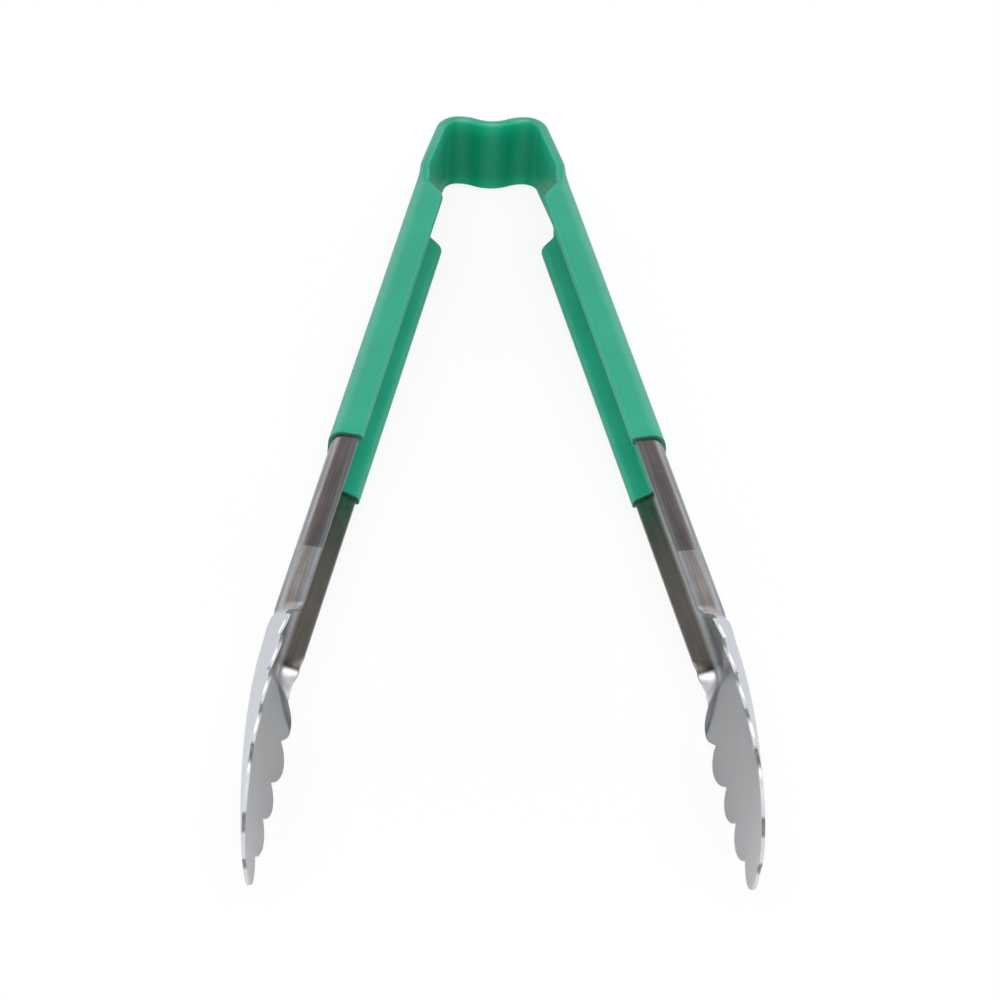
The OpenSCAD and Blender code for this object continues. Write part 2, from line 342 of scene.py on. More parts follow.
# Painted reflection on the flare outside the crease: lightness above and below its lower edge, and what it
# loses beside the crease
FLARE_LIGHT = 0.98
FLARE_LOSS = 0.45
FLARE_EDGE_T = 8
FLARE_EDGE_FADE = 3
FLARE_EDGE_RISE = 5  # the edge runs higher by this beside the crease
LOW_LIGHT = 0.42
LOW_LOSS = 0.24
LOW_GAIN = 0.02
LOW_GAIN_L = 12
GLARE = (0.7, 0.97)  # the white glare on the flare, at its start and in its middle
# Bowl inside the creases, and the whole inner face beyond the flare; it grows lighter towards the tip,
# painted shade near the root
BOWL_LIGHT = 0.53
BOWL_GAIN = 0.003
BOWL_GAIN_L = 80
# Where each change on the inner face starts and where it is full: w towards the middle, or s or t
WEB_EDGE = (FLAT_HALF + 5.5, FLAT_HALF + 2.5)
TO_GRIP = (GRIP_L + 45, GRIP_L)
TO_BLADE = (-26, -8)
IN_FOLD = (-4, 0.5)
IN_FLARE = (-0.1, 1.9)
IN_GLARE = (1, 3)
IN_BOWL = (0.5, 4.5)
PAST_FLARE = (15, 20)
BESIDE_CREASE = (5.5, 0.5)  # w beyond the crease
CREASE_HALF = 1.25  # half width of the step from the flare to the bowl

# Roughness of each finish, and the streaks of the channel's inner face
OUTER_ROUGH = {"polished": 0.17, "brushed": 0.37, "blade": 0.4}
INNER_ROUGH = {"flange": 0.38, "web": 0.42, "flare": 0.28, "bowl": 0.42}
INNER_STREAKS = 0.4

# Painted reflection on the cut edge: its level on the channel, and the dark and light stretches along each
# lobe of the blade
EDGE_CHANNEL = 0.5
EDGE_DARK = 0.45
EDGE_LIGHT = 1.3
LOBE_ENDS = [0, *NOTCH_S, END_NOTCH[0] + END_SCALLOP_H + 1]  # the last one is just past the tip
LOBE_LIGHT = (0.42, 0.58)  # shares of a lobe's length
# The end lobe has a painted reflection of its own over its width: light in the middle
END_LOBE_W = (11, 10)
END_LIGHT_W = (5.6, 4.6)


def toward(a, b, share):
    """Colours from a to b by a share that is held for each point."""
    return between(a, b, share[:, None])


def outer_face(s, w):
    """Tone, roughness and streaks of the outer face: polished, then brushed, then the even blade. The tone
    holds painted reflection bands and a painted highlight oval.
    """
    t = s - CHANNEL_L
    brushed = fade(s, FINISH_S - FINISH_FADE / 2, FINISH_S + FINISH_FADE / 2)
    blade = fade(t, *ROOT)
    # Painted reflection: the lightness across the face follows the bends, darker where polished
    light = between(np.interp(w, BAND_W, POLISHED_PAINTED_REFLECTION), np.interp(w, BAND_W, BRUSHED_PAINTED_REFLECTION), brushed)
    brown = between(np.interp(w, BAND_W, POLISHED_BROWN), np.interp(w, BAND_W, BRUSHED_BROWN), brushed)
    light = between(light, between(ROOT_LIGHT, TIP_LIGHT, clamp01(t / BLADE_EVEN)), blade)
    # Painted highlight: a faint light, browner oval on the flange
    from_oval = np.hypot((t - OVAL_T) / OVAL_HALF[0], (w - BLANK_HALF + OVAL_IN) / OVAL_HALF[1])
    oval = fade(from_oval, 1, OVAL_CORE)
    light = light + OVAL_PAINTED_HIGHLIGHT * oval
    brown = between(brown, 1, oval)
    tone = toward(BLUE_STEEL, BROWN_STEEL, brown * (1 - blade)) * light[:, None]
    rough = between(OUTER_ROUGH["polished"], OUTER_ROUGH["brushed"], brushed)
    rough = between(rough, OUTER_ROUGH["blade"], blade)
    return np.column_stack([tone, rough, 1 - blade])


def channel_tone_with_painted_shade(s, w, web):
    """Tone of the channel's inner face, with painted shade towards the grip, towards the blade and in the
    fold. web is 1 on the web and 0 on the flanges.
    """
    t = s - CHANNEL_L
    grip = 1 - GRIP_LOSS * fade(s, *TO_GRIP) * (1 - web)
    blade = 1 - WEB_LOSS * fade(t, *TO_BLADE) * web
    fold = 1 - FOLD_LOSS * fade(t, *IN_FOLD) * (1 - web)
    return toward(OLIVE_STEEL * FLANGE_LIGHT, BLUE_STEEL * WEB_LIGHT, web) * (grip * blade * fold)[:, None]


def flare_painted_reflection(t, w):
    """Painted reflection on the polished flare outside the crease: darker beside the crease and lower down,
    with a white glare.
    """
    beside = fade(w - crease_w(t), *BESIDE_CREASE)
    low = fade(t + FLARE_EDGE_RISE * beside, FLARE_EDGE_T, FLARE_EDGE_T + FLARE_EDGE_FADE)
    upper_light = FLARE_LIGHT - FLARE_LOSS * beside
    low_light = LOW_LIGHT - LOW_LOSS * beside + LOW_GAIN * np.clip(t - FLARE_EDGE_T, 0, LOW_GAIN_L)
    light = between(upper_light, low_light, low)
    glare = between(*GLARE, fade(t, *IN_GLARE))
    return toward(BLUE_STEEL * light[:, None], WHITE * glare[:, None], (1 - beside) * (1 - low))


def inner_face(s, w):
    """Tone, roughness and streaks of the inner face: channel with painted shade, flare outside the crease
    with painted reflection, then satin bowl with painted shade near the root.
    """
    t = s - CHANNEL_L
    web = fade(w, *WEB_EDGE)
    blade = fade(t, *ROOT)
    tone = toward(channel_tone_with_painted_shade(s, w, web), flare_painted_reflection(t, w), fade(t, *IN_FLARE))
    inside_crease = fade(crease_w(t) - w, -CREASE_HALF, CREASE_HALF) * fade(t, *IN_BOWL)
    bowl = np.maximum(inside_crease, fade(t, *PAST_FLARE))
    # Painted shade: the bowl is darker near the root and lighter towards the tip
    bowl_light = BOWL_LIGHT + BOWL_GAIN * np.clip(t, 0, BOWL_GAIN_L)
    tone = toward(tone, BOWL_STEEL * bowl_light[:, None], bowl)
    rough = between(INNER_ROUGH["flange"], INNER_ROUGH["web"], web)
    rough = between(rough, INNER_ROUGH["flare"], blade)
    rough = between(rough, INNER_ROUGH["bowl"], bowl)
    return np.column_stack([tone, rough, INNER_STREAKS * (1 - blade)])


def edge_painted_reflection(t, w):
    """Painted reflection on the cut edge: each lobe is dark on its root side, and the end lobe towards its
    sides.
    """
    lobe = np.interp(t, LOBE_ENDS, range(len(LOBE_ENDS))) % 1
    level = between(EDGE_DARK, EDGE_LIGHT, fade(lobe, *LOBE_LIGHT))
    end_level = between(EDGE_DARK, EDGE_LIGHT, fade(w, *END_LIGHT_W))
    level = between(level, end_level, fade(w, *END_LOBE_W))
    return between(EDGE_CHANNEL, level, fade(t, *ROOT))


def steel_finish_and_painted_light(s, w, depth):
    """Tone of the steel at each point, with painted reflection and shade, and its gloss: roughness, streaks
    and the painted reflection level of the cut edge.
    """
    w = np.abs(w)
    look = np.where(depth[:, None] > SHEET / 2, inner_face(s, w), outer_face(s, w))
    return look[:, :3], np.column_stack([look[:, 3:], edge_painted_reflection(s - CHANNEL_L, w)])


# ---- steel sheet of one arm ----
# Rows down the arm are close together over the shoulders and the blade, and far apart on the channel
SHOULDER_ROWS_TO = 10.0
SHOULDER_STEP = 0.7
CHANNEL_ROWS_FROM = 14.0
CHANNEL_STEP = 6
BRUSHED_STEP = 5
FLARE_STEP = 0.4
LOBE_ROWS = 20
END_ROWS = 16
COLS = 36
MID_COLS = 14
END_SHARE = END_NOTCH[1] / NOTCH_W[3]
# Rounded cut edges: radius, and the share of it cut off at the middle row of the rounding
EDGE = 0.15
BEVEL = 0.3
# Rows of the cut edge: share of the radius outwards, and depth
EDGE_ROWS = [(1 - BEVEL, BEVEL * EDGE), (1.0, EDGE), (1.0, SHEET - EDGE), (1 - BEVEL, SHEET - BEVEL * EDGE)]
FACE_SLOT = 0
CUT_SLOT = 1


def col_share(j):
    """Share of the half width at column j: the first MID_COLS columns end on the end lobe."""
    if j <= MID_COLS:
        return END_SHARE * j / MID_COLS
    return END_SHARE + (1 - END_SHARE) * (j - MID_COLS) / (COLS - MID_COLS)


def side_w(t):
    """Half width of the blade's blank at distance t from the channel's end."""
    if t <= 0:
        return between(BLANK_HALF, ROOT_W, fade(t, OPEN_FROM, 0))
    if t <= NOTCH_S[0]:
        lobe = FIRST_SCALLOP_H * bump((t - FLARE_S) / (NOTCH_S[0] - FLARE_S), FIRST_POWER)
        return between(ROOT_W, NOTCH_W[0], t / NOTCH_S[0]) + lobe
    k = np.searchsorted(NOTCH_S[1:3], t)
    u = (t - NOTCH_S[k]) / (NOTCH_S[k + 1] - NOTCH_S[k])
    return between(NOTCH_W[k], NOTCH_W[k + 1], u) + SCALLOP_H * bump(u, SCALLOP_POWER)


def pulled(a, handles, b, t):
    """Point at share t of a curve from a to b with two handles."""
    u = 1 - t
    return u ** 3 * a + 3 * u * u * t * handles[0] + 3 * u * t * t * handles[1] + t ** 3 * b


def end_edge(j):
    """Point of the blank's end edge at column j: the end lobe, then the last corner."""
    if j <= MID_COLS:
        x = j / MID_COLS
        return np.array([END_NOTCH[0] + END_SCALLOP_H * (1 - x ** END_POWER), END_NOTCH[1] * x])
    corner = np.array([NOTCH_S[3], NOTCH_W[3]])
    return pulled(END_NOTCH, CORNER_HANDLES, corner, CORNER_SHARE * (j - MID_COLS) / (COLS - MID_COLS))


def both_sides(row):
    """A row of blank points from its half with w >= 0."""
    return [[s, -w] for s, w in row[:0:-1]] + [list(p) for p in row]


def blank_rows():
    """Rows of blank points [s, w] from the flex line to the tip."""
    shares = [col_share(j) for j in range(COLS + 1)]
    above_blade = np.concatenate([
        spaced(FLEX_GAP / 2, SHOULDER_ROWS_TO, SHOULDER_STEP),
        spaced(CHANNEL_ROWS_FROM, FINISH_S - FINISH_FADE / 2, CHANNEL_STEP),
        spaced(FINISH_S + FINISH_FADE / 2, CHANNEL_L + OPEN_FROM - 1, BRUSHED_STEP),
    ])
    rows = [both_sides([[s, u * blank_half(s)] for u in shares]) for s in above_blade]
    flare = spaced(OPEN_FROM, NOTCH_S[0], FLARE_STEP)
    lobes = [np.linspace(NOTCH_S[k], NOTCH_S[k + 1], LOBE_ROWS + 1)[1:] for k in range(3)]
    for t in np.concatenate([flare, *lobes]):
        rows.append(both_sides([[CHANNEL_L + t, u * side_w(t)] for u in shares]))
    for share in np.linspace(0, 1, END_ROWS + 1)[1:]:
        row = []
        for j, u in enumerate(shares):
            start = np.array([NOTCH_S[3], u * NOTCH_W[3]])
            t, w = between(start, end_edge(j), share)
            row.append([CHANNEL_L + t, w])
        rows.append(both_sides(row))
    return np.array(rows)


def rim_loop(rows, cols):
    """Indices of a grid's boundary, in order."""
    first = list(range(cols))
    right = [i * cols + cols - 1 for i in range(1, rows)]
    last = [(rows - 1) * cols + j for j in range(cols - 2, -1, -1)]
    left = [i * cols for i in range(rows - 2, 0, -1)]
    return first + right + last + left


def outward(edge):
    """Outward direction in the blank at each point of its rim loop."""
    ahead = unit(np.roll(edge, -1, 0) - edge)
    behind = unit(edge - np.roll(edge, 1, 0))
    along = unit(ahead + behind)
    return np.stack([-along[:, 1], along[:, 0]], -1)


def sheet_faces(rows, cols, rim):
    """Faces of the sheet and their material slots: both faces of the grid, then the cut edge round it."""
    n = rows * cols
    m = len(rim)
    faces = []
    for i in range(rows - 1):
        for j in range(cols - 1):
            a, b = i * cols + j, i * cols + j + 1
            c, d = b + cols, a + cols
            faces.append([a, d, c, b])
            faces.append([n + a, n + b, n + c, n + d])
    slots = [FACE_SLOT] * len(faces)
    rings = [rim]
    for k in range(len(EDGE_ROWS)):
        rings.append([2 * n + k * m + i for i in range(m)])
    rings.append([n + v for v in rim])
    for upper, lower in zip(rings, rings[1:]):
        for i in range(m):
            k = (i + 1) % m
            faces.append([upper[i], upper[k], lower[k], lower[i]])
    slots += [CUT_SLOT] * (len(faces) - len(slots))
    return faces, slots


def steel_arm(name, mirror):
    """Sheet of one arm, channel and blade, with rounded cut edges."""
    grid = blank_rows()
    rows, cols, _ = grid.shape
    flat = grid.reshape(-1, 2)
    rim = rim_loop(rows, cols)
    edge = flat[rim].copy()
    out = outward(edge)
    flat[rim] = edge - EDGE * out
    layers = [(flat, 0.0), (flat, SHEET)]
    layers += [(edge - EDGE * (1 - share) * out, depth) for share, depth in EDGE_ROWS]
    s, w = np.concatenate([blank for blank, _ in layers]).T
    depth = np.concatenate([np.full(len(blank), level) for blank, level in layers])
    tone, gloss = steel_finish_and_painted_light(s, w, depth)
    attributes = {"strip": np.column_stack([s, w, depth]) * MM, "tone": tone, "gloss": gloss}
    faces, slots = sheet_faces(rows, cols, rim)
    return new_piece(name, strip_point(s, w, depth), faces, slots, attributes, mirror)


# ---- closed skins lofted along the strip ----
SPLIT_S = -14.0  # the arm's coating starts here, on the head's straight wall
HEAD_STEP = 1.0  # rows of the steel above the flex line
WALL_STEP = 4  # rows of the coating on the head's wall
BEND_ROWS_FROM = -5.5  # rows are close together from here, where the coating bends with the arm
BEND_STEP = 0.5
INNER = SHEET / 2 + 0.02  # the coating's inner skin, just clear of the steel
RIM_POWER = 0.78  # below 1: the rim is squarer than a half circle
SOFT_END = 0.22
LIP_ROWS = 4
LIP_CLEAR = 4  # the last full row before the soft end
LIP_SHADE = 0.15
# Dip line: its rise on the near flange, and its slant on the far one from where it is level
DIP_RISE = 1.9
DIP_SLANT = 0.43
DIP_LEVEL = 3.4
DIP_REACH = 10.8  # distance from the middle of the back where they are full
DIP_L = 12  # length above the dip line over which they set in
RIM_STEPS = 10
FLAT_COLS = 4
BEND_COLS = 12
FLANGE_COLS = 4
bend_share = BEND_L / (BLANK_HALF - SHEET / 2 - FLAT_HALF)
# Columns of half a section: -1 to 0 over the flat back, 0 to 1 from there to the rim
half_cols = np.concatenate([
    np.linspace(-1, 0, FLAT_COLS + 1)[:-1],
    np.linspace(0, bend_share, BEND_COLS + 1)[:-1],
    np.linspace(bend_share, 1, FLANGE_COLS + 1),
])

# Coating's inner face: lighter by these gains on the flanges and the web as painted light, darker by the
# losses in the crown as painted shade
FLANGE_GAIN = 0.33
WEB_GAIN = 0.15
CROWN_WEB_GAIN = 0.27
CROWN_LOSS = 0.5
CROWN_RIM_LOSS = 0.28
WEB_W = (9, 6)
CROWN_RIM_W = (8, 11.5)
# Painted reflection, a whitish sheen: more red and blue than on the outer face, inside the arms and the
# crown, and on the head's rims
ARM_RED = 3.5
RIM_RED = 5
ARM_BLUE = 0.06
CROWN_BLUE = -0.14
RIM_BLUE = 0.06
RIM_LOOK_S = (4, -4)
COAT_ROUGH = 0.4
COAT_SPECULAR = 0.85
CROWN_SPECULAR = 0.2
# The crown's look, with its painted shade, sets in above the flex line with this share, and is full near the
# middle
CORNER_CROWN = 0.45
ABOVE_FLEX = (2, -6)
CROWN_X = (17, 13)
# Painted reflection: soft light columns across the crown's inner face, and more red, a whitish sheen, on its
# rims away from the middle
COLUMN_PITCH = 8.9
COLUMN_X = (16, 12)
COLUMN_LIGHT = 0.05
COLUMN_SPECULAR = 0.7
CREST_RED = 1.2
CREST_RED_X = (4, 9)
MIDDLE_RED = 0.3

# Columns of a ring's marks
STRIP = slice(0, 3)
TONE = slice(3, 6)
GLOSS = slice(6, 9)
RED = 3
SPECULAR = 7


def section_loop(s, reach):
    """Closed loop at distance reach round the sheet's middle: inward offset, height, w and face."""
    limit = blank_half(s) - SHEET / 2
    w = FLAT_HALF + half_cols * np.where(half_cols < 0, FLAT_HALF, limit - FLAT_HALF)
    s_col = np.full_like(w, s)
    outer_in, outer_z, _ = section(s_col, w, SHEET / 2 - reach)
    inner_in, inner_z, _ = section(s_col, w, SHEET / 2 + reach)
    rim_in, rim_z, a = section(s_col[:1], np.array([limit]), SHEET / 2)
    turn = np.linspace(0, math.pi, RIM_STEPS + 1)[1:-1]
    out = np.sin(turn) ** RIM_POWER
    over = np.sign(np.cos(turn)) * np.abs(np.cos(turn)) ** RIM_POWER
    rim_in = rim_in + reach * (out * np.sin(a) - over * np.cos(a))
    rim_z = rim_z + reach * (out * np.cos(a) + over * np.sin(a))
    half_in = np.concatenate([outer_in, rim_in, inner_in[::-1]])
    half_z = np.concatenate([outer_z, rim_z, inner_z[::-1]])
    half_w = np.concatenate([w, np.full_like(turn, limit), w[::-1]])
    face = np.concatenate([0 * w, turn / math.pi, 1 + 0 * w])
    back = slice(-2, 0, -1)
    halves = ((half_in, 1), (half_z, -1), (half_w, -1), (face, 1))
    return [np.concatenate([half, sign * half[back]]) for half, sign in halves]


def on_rim(face):
    """1 in the middle of the rim, and 0 on both faces."""
    return 1 - np.abs(2 * face - 1)


def coating_look_with_painted_light(s, w, face, crown, light):
    """Tone and gloss of the coating, with painted light and shade on the inner face and a painted whitish
    reflection in its red and blue. crown is 1 in the head's crown and 0 on the arms.
    """
    w = np.abs(w)
    inner = smooth(2 * face - 1)
    rim = on_rim(face) * fade(s, *RIM_LOOK_S)
    gain = between(FLANGE_GAIN, between(WEB_GAIN, CROWN_WEB_GAIN, crown), fade(w, *WEB_W))
    loss = between(CROWN_LOSS, CROWN_RIM_LOSS, fade(w, *CROWN_RIM_W)) * crown
    # Painted light on the flanges and web, painted shade in the crown
    green = light * (1 + inner * (gain - loss))
    # Painted reflection: more red and blue as a whitish sheen
    red = green * (1 + ARM_RED * inner * (1 - crown) + RIM_RED * rim)
    blue = green * (1 + inner * between(ARM_BLUE, CROWN_BLUE, crown) + RIM_BLUE * rim)
    specular = between(COAT_SPECULAR, CROWN_SPECULAR, inner * crown)
    return np.column_stack([red, green, blue]), np.column_stack([COAT_ROUGH + 0 * s, specular, 0 * s])


def skin_marks(s, w, face, reach, crown, light=1.0):
    """Strip coordinates, tone and gloss of a skin: the steel's own at a reach of half the sheet."""
    if reach == SHEET / 2:
        tone, gloss = steel_finish_and_painted_light(s, w, face * SHEET)
    else:
        tone, gloss = coating_look_with_painted_light(s, w, face, crown, light)
    return np.column_stack([s * MM, w * MM, reach * MM + 0 * s, tone, gloss])


def arm_ring(s, reach, light=1.0):
    """Ring round the left arm's strip at s, and its marks."""
    inward, height, w, face = section_loop(s, reach)
    rise = np.where(height > 0, DIP_RISE, DIP_SLANT * (DIP_LEVEL - inward))
    lift = rise * fade(np.abs(height), 0, DIP_REACH)
    s_col = s - lift * fade(s, GRIP_L - DIP_L, GRIP_L)
    crown = CORNER_CROWN * fade(s, *ABOVE_FLEX)
    return place(s_col, inward, height), skin_marks(s_col, w, face, reach, crown, light)


def head_ring(station, reach):
    """Ring round the head's strip at a station, and its marks."""
    point, normal, s = station
    inward, height, w, face = section_loop(CURL_FROM, reach)
    flat = point - np.outer(inward - SHEET / 2, normal)
    ring = np.column_stack([flat[:, 0], CROWN_Y + flat[:, 1], MID_Z + height])
    x = abs(point[0])
    crown = between(CORNER_CROWN, 1, fade(x, *CROWN_X))
    marks = skin_marks(np.full_like(w, s), w, face, reach, crown)
    if reach != SHEET / 2:
        # Painted reflection: soft light columns across the crown's inner face, and more red on its rims
        column = math.cos(2 * math.pi * x / COLUMN_PITCH) * fade(x, *COLUMN_X) * face
        marks[:, TONE] *= 1 + COLUMN_LIGHT * column[:, None]
        marks[:, SPECULAR] *= 1 + COLUMN_SPECULAR * column
        marks[:, RED] *= 1 + CREST_RED * on_rim(face) * (fade(x, *CREST_RED_X) - MIDDLE_RED)
    return ring, marks


CREST_STEPS = 8
CORNER_STEPS = 16
WALL_STEPS = 3


def head_line():
    """Stations of the head's middle line from left split to right: point, outward normal, distance."""
    wave = 2 * math.atan(CROWN_DIP / CREST_X)
    wave_r = CREST_X / 2 / math.sin(wave)
    valley_c = np.array([0, wave_r - SKIN - CROWN_DIP])
    crest_c = np.array([CREST_X, -SKIN - wave_r])
    right = []

    def arc(centre, radius, start, end, count, side):
        for a in np.linspace(start, end, count + 1):
            n = np.array([math.cos(a), math.sin(a)])
            right.append((centre + radius * n, side * n))

    quarter = math.pi / 2
    arc(valley_c, wave_r, -quarter, wave - quarter, CREST_STEPS, -1)
    right.pop()
    arc(crest_c, wave_r, wave + quarter, quarter, CREST_STEPS, 1)
    right.pop()
    arc(corner_c, CORNER_R, quarter, WALL_ANGLE, CORNER_STEPS, 1)
    start, normal = right[-1]
    end = place(np.array([SPLIT_S]), SHEET / 2, np.zeros(1))[0] * [-1, 1, 1] - [0, CROWN_Y, 0]
    for share in np.linspace(0, 1, WALL_STEPS + 1)[1:]:
        right.append((between(start, end[:2], share), normal))
    line = [(p * [-1, 1], n * [-1, 1]) for p, n in right[:0:-1]] + right
    steps = [np.linalg.norm(b[0] - a[0]) for a, b in zip(line, line[1:])]
    return [(p, n, s) for (p, n), s in zip(line, SPLIT_S - np.concatenate([[0], np.cumsum(steps)]))]


def loft(name, rings, mirror=False, capped=False):
    """Mesh through rings: the last joins the first, or both ends are capped."""
    m = len(rings[0][0])
    count = len(rings)
    faces = []
    for r in range(count - 1 if capped else count):
        a, b = r * m, (r + 1) % count * m
        faces += [[a + i, a + (i + 1) % m, b + (i + 1) % m, b + i] for i in range(m)]
    if capped:
        # Quads through the sheet from its middle to both rims, at the first ring and at the last
        h = m // 2 + 1
        last = (count - 1) * m
        for i in range(h // 2 - 1):
            near = [i, i + 1, h - 2 - i, h - 1 - i]
            far = [(m - k) % m for k in near]
            faces += [near[::-1], far, [last + k for k in near], [last + k for k in far[::-1]]]
    points = np.concatenate([ring for ring, _ in rings])
    marks = np.concatenate([marks for _, marks in rings])
    attributes = {"strip": marks[:, STRIP], "tone": marks[:, TONE], "gloss": marks[:, GLOSS]}
    return new_piece(name, points, faces, None, attributes, mirror)


def coating_arm(name, mirror):
    """Coating from the head's side wall to the end of the grip, with a soft end."""
    rows = [
        *spaced(SPLIT_S, BEND_ROWS_FROM - BEND_STEP, WALL_STEP),
        *spaced(BEND_ROWS_FROM, SHOULDER_ROWS_TO, BEND_STEP),
        *spaced(CHANNEL_ROWS_FROM, GRIP_L - LIP_CLEAR, CHANNEL_STEP),
        GRIP_L - SOFT_END,
    ]
    profile = [(s, SKIN, 1) for s in rows]
    for k in range(1, LIP_ROWS + 1):
        a = math.pi / 2 * k / LIP_ROWS
        end = GRIP_L - SOFT_END * (1 - math.sin(a))
        profile.append((end, SKIN - SOFT_END * (1 - math.cos(a)), 1 - LIP_SHADE * k))
    profile.append((GRIP_L, INNER, 1 - LIP_SHADE * LIP_ROWS))
    profile += [(s, INNER, 1) for s in rows[::-1]]
    return loft(name, [arm_ring(*ring) for ring in profile], mirror)


def coating_head(name):
    """Coating of the crown and the upper side walls."""
    line = head_line()
    rings = [head_ring(station, SKIN) for station in line]
    rings += [head_ring(station, INNER) for station in line[::-1]]
    return loft(name, rings)


def steel_head(name):
    """Strip inside the head, down to the flex lines."""
    sides = [arm_ring(s, SHEET / 2) for s in spaced(-FLEX_GAP / 2, SPLIT_S + HEAD_STEP, HEAD_STEP)]
    right = [(ring * [-1, 1, 1], marks) for ring, marks in sides[::-1]]
    crown = [head_ring(station, SHEET / 2) for station in head_line()]
    return loft(name, sides + crown + right, capped=True)


# ---- materials ----
class Nodes:
    """Short calls for making the nodes of one node tree."""

    def __init__(self, tree):
        self.tree = tree

    def put(self, socket, value):
        """A link from another node's socket, or a constant."""
        if isinstance(value, bpy.types.NodeSocket):
            self.tree.links.new(value, socket)
        else:
            socket.default_value = value

    def node(self, kind, values=(), **settings):
        made = self.tree.nodes.new(kind)
        for key, value in settings.items():
            setattr(made, key, value)
        for socket, value in dict(values).items():
            self.put(made.inputs[socket], value)
        return made


class Shader(Nodes):
    """A node material with a Principled shader, and short calls for the nodes that the finishes use."""

    def __init__(self, name):
        self.material = bpy.data.materials.new(name)
        self.material.use_nodes = True
        super().__init__(self.material.node_tree)
        self.principled = self.tree.nodes["Principled BSDF"]

    def attribute(self, name):
        return self.node("ShaderNodeAttribute", attribute_name=name).outputs["Vector"]

    def parts(self, name):
        return self.node("ShaderNodeSeparateXYZ", {"Vector": self.attribute(name)}).outputs

    def scaled(self, vector, scale):
        made = self.node("ShaderNodeVectorMath", {0: vector, 1: scale}, operation="MULTIPLY")
        return made.outputs["Vector"]

    def dimmed(self, colour, level):
        made = self.node("ShaderNodeVectorMath", {0: colour, "Scale": level}, operation="SCALE")
        return made.outputs["Vector"]

    def noise(self, vector, scale, detail=3.0):
        values = {"Vector": vector, "Scale": scale, "Detail": detail, "Roughness": 0.5}
        return self.node("ShaderNodeTexNoise", values).outputs["Fac"]

    def ranged(self, value, old, new, kind):
        values = {"Value": value, "From Min": old[0], "From Max": old[1]}
        values.update({"To Min": new[0], "To Max": new[1]})
        return self.node("ShaderNodeMapRange", values, interpolation_type=kind).outputs["Result"]

    def spread(self, noise, low, high):
        """A noise's usual range, spread softly from low to high."""
        return self.ranged(noise, (0.3, 0.7), (low, high), "SMOOTHSTEP")

    def mixed(self, factor, a, b):
        return self.node("ShaderNodeMix", {0: factor, 6: a, 7: b}, data_type="RGBA").outputs[2]

    def math(self, operation, a, b):
        return self.node("ShaderNodeMath", {0: a, 1: b}, operation=operation).outputs[0]

    def bumped(self, height, distance, **values):
        values = {"Height": height, "Distance": distance, "Strength": 1.0, **values}
        return self.node("ShaderNodeBump", values).outputs["Normal"]

    def set(self, **values):
        for key, value in values.items():
            self.put(self.principled.inputs[key.replace("_", " ")], value)
        return self.material


def coating_material():
    """Green dipped vinyl: faint mottle and ripple, and a fine grain in its gloss."""
    shader = Shader("dipped_coating")
    strip = shader.attribute("strip")
    gloss = shader.parts("gloss")
    mottle = shader.noise(strip, scale=45.0, detail=2.0)
    grain = shader.noise(strip, scale=900.0, detail=2.0)
    ripple = shader.noise(shader.scaled(strip, (0.35, 1.0, 1.0)), scale=160.0, detail=1.0)
    colour = shader.mixed(shader.spread(mottle, 0.0, 1.0), srgb(12, 163, 130), srgb(17, 170, 137))
    rippled = shader.bumped(ripple, distance=0.00006)
    # The tone attribute carries painted light and shade
    return shader.set(
        Base_Color=shader.scaled(colour, shader.attribute("tone")),
        Roughness=shader.math("ADD", gloss["X"], shader.spread(grain, -0.05, 0.05)),
        Specular_IOR_Level=gloss["Y"],
        Normal=shader.bumped(grain, distance=0.000006, Normal=rippled),
    )


def steel_material():
    """Formed steel: fine lines along the strip, and drawn streaks where the gloss asks for them."""
    shader = Shader("formed_steel")
    strip = shader.attribute("strip")
    gloss = shader.parts("gloss")
    fine = shader.noise(shader.scaled(strip, (0.02, 1.0, 1.0)), scale=5200.0)
    streaks = shader.noise(shader.scaled(strip, (0.03, 1.0, 1.0)), scale=1100.0)
    cloud = shader.noise(strip, scale=110.0, detail=4.0)
    drawn = shader.math("MULTIPLY", shader.spread(streaks, 0.8, 1.2), shader.spread(cloud, 0.93, 1.07))
    even = shader.spread(cloud, 0.985, 1.015)
    share = shader.ranged(gloss["Y"], (0.0, 1.0), (0.0, 1.0), "LINEAR")
    level = shader.node("ShaderNodeMix", {0: share, 2: even, 3: drawn}, data_type="FLOAT").outputs[0]
    # The tone attribute carries painted reflection and shade
    return shader.set(
        Base_Color=shader.dimmed(shader.attribute("tone"), level),
        Metallic=1.0,
        Roughness=gloss["X"],
        Normal=shader.bumped(fine, distance=0.0000025),
    )


def cut_edge_material():
    """Cut edge of the sheet: fine lines along the edge, at the level that the gloss holds, a painted
    reflection.
    """
    shader = Shader("cut_edge")
    strip = shader.attribute("strip")
    lines = shader.noise(shader.scaled(strip, (1.0, 1.0, 0.1)), scale=2600.0, detail=2.0)
    colour = shader.mixed(lines, srgb(196, 197, 200), srgb(214, 215, 217))
    return shader.set(
        Base_Color=shader.dimmed(colour, shader.parts("gloss")["Z"]),
        Metallic=1.0,
        Roughness=0.44,
        Normal=shader.bumped(lines, distance=0.000002),
    )


# ---- dress the frame ----
coating = coating_material()
steel = steel_material()
cut_edge = cut_edge_material()

crown = coating_head("coating_head")
crown.data.materials.append(coating)
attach(crown, "head")
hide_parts("head_coating")

spring = steel_head("steel_head")
spring.data.materials.append(steel)
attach(spring, "head")
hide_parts("head_spring")

